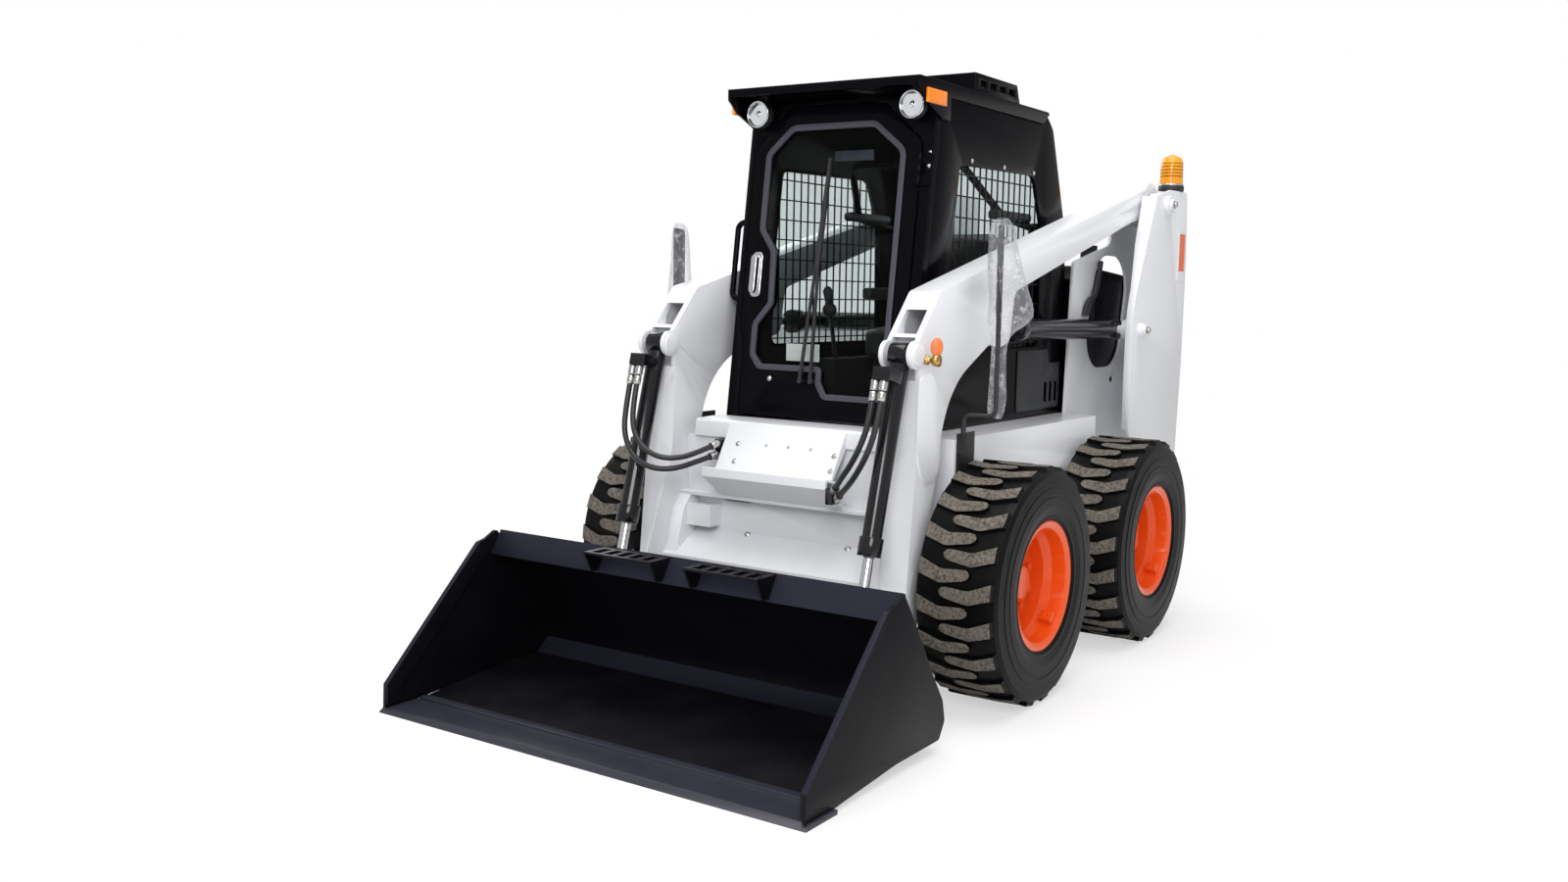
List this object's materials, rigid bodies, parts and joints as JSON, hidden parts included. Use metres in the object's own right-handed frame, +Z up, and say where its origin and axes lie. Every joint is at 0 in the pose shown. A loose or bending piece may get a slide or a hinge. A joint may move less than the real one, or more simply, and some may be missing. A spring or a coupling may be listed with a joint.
{
  "type": "skid steer loader",
  "caption": "Compact wheeled loader with an enclosed cab, side lift arms on rear towers, hydraulic lift and tilt cylinders and a front dirt bucket.",
  "frame": {"origin": "on the ground, in the middle of the machine's length and width", "axes": "+Z up, the machine faces -Y, +X is its left-hand side"},
  "size_m": [1.796, 3.424, 2.215],
  "materials": {
    "white_paint": "gloss",
    "cab_black": "gloss",
    "bucket_black": "satin",
    "cylinder_black": "gloss",
    "wheel_orange": "gloss",
    "tyre": "dusty",
    "rod_chrome": "polished",
    "hose_rubber": "satin",
    "seal_rubber": "satin",
    "fitting_steel": "zinc plated",
    "window_glass": "clear",
    "lamp_lens": "clear",
    "amber_lens": "gloss",
    "reflector_red": "gloss",
    "seat_vinyl": "satin",
    "control_plastic": "matte",
    "engine_block": "cast"
  },
  "bodies": {
    "frame": {"main_frame": "white_paint", "chain_cases": "white_paint", "tower_left": "white_paint", "tower_right": "white_paint", "engine": "engine_block", "hood": "cab_black", "tail_door": "white_paint", "cab_front": "cab_black", "cab_sides": "cab_black", "cab_rear": "cab_black", "cab_glass": "window_glass", "side_grilles": "cab_black", "cab_floor": "cab_black", "cab_roof": "cab_black", "air_box": "cab_black", "work_lamps": "lamp_lens", "marker_lamps": "amber_lens", "grab_handle": "cab_black", "seat": "seat_vinyl", "controls": "control_plastic", "lap_bar": "cab_black", "mirrors": "cab_black", "beacon_base": "cab_black", "beacon_lens": "amber_lens", "reflectors": "reflector_red"},
    "arms": {"arm_left": "white_paint", "arm_right": "white_paint", "cross_member": "white_paint", "step_cover": "white_paint", "hose_blocks": "fitting_steel", "hose_right_outer": "hose_rubber", "hose_right_inner": "hose_rubber", "hose_left_inner": "hose_rubber", "hose_left_outer": "hose_rubber"},
    "door": {"door_frame": "cab_black", "door_seal": "seal_rubber", "door_glass": "window_glass", "door_latch": "rod_chrome", "wiper": "control_plastic"},
    "bucket": {"bucket_shell": "bucket_black", "bucket_sides": "bucket_black", "cutting_edge": "bucket_black", "bucket_steps": "bucket_black", "hitch": "bucket_black"},
    "wheel_front_left": {"tyre_front_left": "tyre", "rim_front_left": "wheel_orange"},
    "wheel_front_right": {"tyre_front_right": "tyre", "rim_front_right": "wheel_orange"},
    "wheel_rear_left": {"tyre_rear_left": "tyre", "rim_rear_left": "wheel_orange"},
    "wheel_rear_right": {"tyre_rear_right": "tyre", "rim_rear_right": "wheel_orange"},
    "lift_barrel_left": {"lift_barrel_left": "cylinder_black"},
    "lift_rod_left": {"lift_rod_left": "rod_chrome"},
    "tilt_barrel_left": {"tilt_barrel_left": "cylinder_black"},
    "tilt_rod_left": {"tilt_rod_left": "rod_chrome"},
    "lift_barrel_right": {"lift_barrel_right": "cylinder_black"},
    "lift_rod_right": {"lift_rod_right": "rod_chrome"},
    "tilt_barrel_right": {"tilt_barrel_right": "cylinder_black"},
    "tilt_rod_right": {"tilt_rod_right": "rod_chrome"}
  },
  "joints": [
    {"name": "lift", "type": "hinge", "parent": "frame", "child": "arms", "pos_m": [0, 1.411, 1.82], "axis": [-1, 0, 0], "range_deg": [0, 58]},
    {"name": "tilt", "type": "hinge", "parent": "arms", "child": "bucket", "pos_m": [0, -0.813, 0.195], "axis": [1, 0, 0], "range_deg": [-25, 98]},
    {"name": "door", "type": "hinge", "parent": "frame", "child": "door", "pos_m": [0.355, -0.38509, 1.42284], "axis": [0, 0.1327, 0.9912], "range_deg": [0, 80]},
    {"name": "spin_front_left", "type": "hinge", "parent": "frame", "child": "wheel_front_left", "pos_m": [0.7425, -0.308, 0.4155], "axis": [1, 0, 0], "continuous": true},
    {"name": "spin_front_right", "type": "hinge", "parent": "frame", "child": "wheel_front_right", "pos_m": [-0.7425, -0.308, 0.4155], "axis": [1, 0, 0], "continuous": true},
    {"name": "spin_rear_left", "type": "hinge", "parent": "frame", "child": "wheel_rear_left", "pos_m": [0.7425, 0.772, 0.4155], "axis": [1, 0, 0], "continuous": true},
    {"name": "spin_rear_right", "type": "hinge", "parent": "frame", "child": "wheel_rear_right", "pos_m": [-0.7425, 0.772, 0.4155], "axis": [1, 0, 0], "continuous": true},
    {"name": "lift_barrel_turn_left", "type": "hinge", "parent": "frame", "child": "lift_barrel_left", "pos_m": [0.515, 1.137, 1.265], "axis": [-1, 0, 0], "range_deg": [-1, 60]},
    {"name": "lift_rod_slide_left", "type": "slide", "parent": "lift_barrel_left", "child": "lift_rod_left", "axis": [0, -0.9999, 0.0125], "range_m": [0, 0.6]},
    {"name": "tilt_barrel_turn_left", "type": "hinge", "parent": "arms", "child": "tilt_barrel_left", "pos_m": [0.515, -0.698, 1.205], "axis": [1, 0, 0], "range_deg": [-0.5, 1]},
    {"name": "tilt_rod_slide_left", "type": "slide", "parent": "tilt_barrel_left", "child": "tilt_rod_left", "axis": [0, -0.2608, -0.9654], "range_m": [-0.07, 0.272]},
    {"name": "lift_barrel_turn_right", "type": "hinge", "parent": "frame", "child": "lift_barrel_right", "pos_m": [-0.515, 1.137, 1.265], "axis": [-1, 0, 0], "range_deg": [-1, 60]},
    {"name": "lift_rod_slide_right", "type": "slide", "parent": "lift_barrel_right", "child": "lift_rod_right", "axis": [0, -0.9999, 0.0125], "range_m": [0, 0.6]},
    {"name": "tilt_barrel_turn_right", "type": "hinge", "parent": "arms", "child": "tilt_barrel_right", "pos_m": [-0.515, -0.698, 1.205], "axis": [1, 0, 0], "range_deg": [-0.5, 1]},
    {"name": "tilt_rod_slide_right", "type": "slide", "parent": "tilt_barrel_right", "child": "tilt_rod_right", "axis": [0, -0.2608, -0.9654], "range_m": [-0.07, 0.272]}
  ],
  "couplings": [
    {"joint": "lift_barrel_turn_left", "follows": "lift", "ratio": 1.01},
    {"joint": "lift_rod_slide_left", "follows": "lift", "m_per_rad": 0.59},
    {"joint": "tilt_barrel_turn_left", "follows": "tilt", "ratio": 0.003},
    {"joint": "tilt_rod_slide_left", "follows": "tilt", "m_per_rad": 0.158},
    {"joint": "lift_barrel_turn_right", "follows": "lift", "ratio": 1.01},
    {"joint": "lift_rod_slide_right", "follows": "lift", "m_per_rad": 0.59},
    {"joint": "tilt_barrel_turn_right", "follows": "tilt", "ratio": 0.003},
    {"joint": "tilt_rod_slide_right", "follows": "tilt", "m_per_rad": 0.158}
  ]
}
